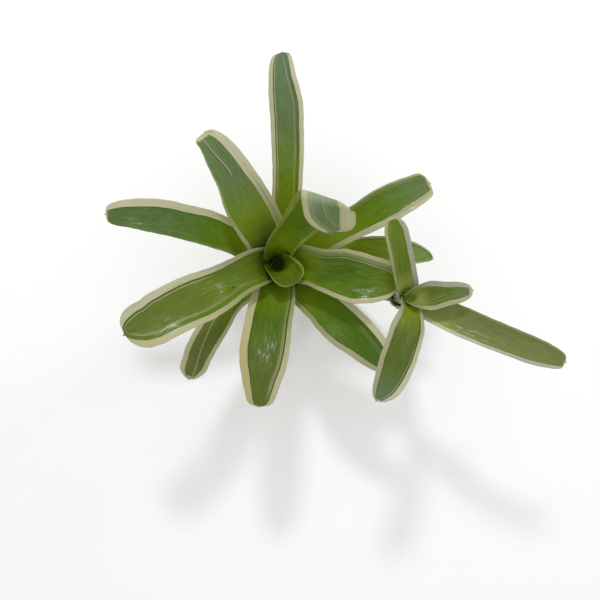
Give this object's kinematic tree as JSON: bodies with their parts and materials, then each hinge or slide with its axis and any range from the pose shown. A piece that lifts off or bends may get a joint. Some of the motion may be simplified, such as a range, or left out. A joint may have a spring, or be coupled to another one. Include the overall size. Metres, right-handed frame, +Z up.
{
  "type": "neoregelia bromeliad",
  "caption": "Rosette of green strap leaves with cream edges round an upright cup, with one young offset on a curved stolon, standing on its foot and roots.",
  "frame": {"origin": "middle of the flat foot of the stem, on the surface that the plant stands on", "axes": "+Z up along the axis of the rosette; +X towards the side of the offset; +Y towards the longest single leaf, at the top of the picture"},
  "size_m": [0.2484, 0.196, 0.1236],
  "materials": {
    "leaf": "smooth and satin, green with cream edges and thin pale lines",
    "offset_leaf": "smooth and satin, paler green with cream edges",
    "dry_bract": "dry and papery",
    "woody_stem": "matt and fibrous"
  },
  "bodies": {
    "root": {"stem_with_roots_and_stolon": "woody_stem", "leaf_01": "leaf", "leaf_02": "leaf", "leaf_03": "leaf", "leaf_04": "leaf", "leaf_05": "leaf", "leaf_06": "leaf", "leaf_07": "leaf", "leaf_08": "leaf", "leaf_09": "leaf", "leaf_10": "leaf", "leaf_11_folded": "leaf", "leaf_12_cup": "leaf", "leaf_13_heart": "leaf", "offset_leaf_01": "offset_leaf", "offset_leaf_02": "offset_leaf", "offset_leaf_03": "offset_leaf", "offset_leaf_04": "offset_leaf", "offset_bract_upper": "dry_bract", "offset_bract_lower": "dry_bract"}
  },
  "joints": []
}
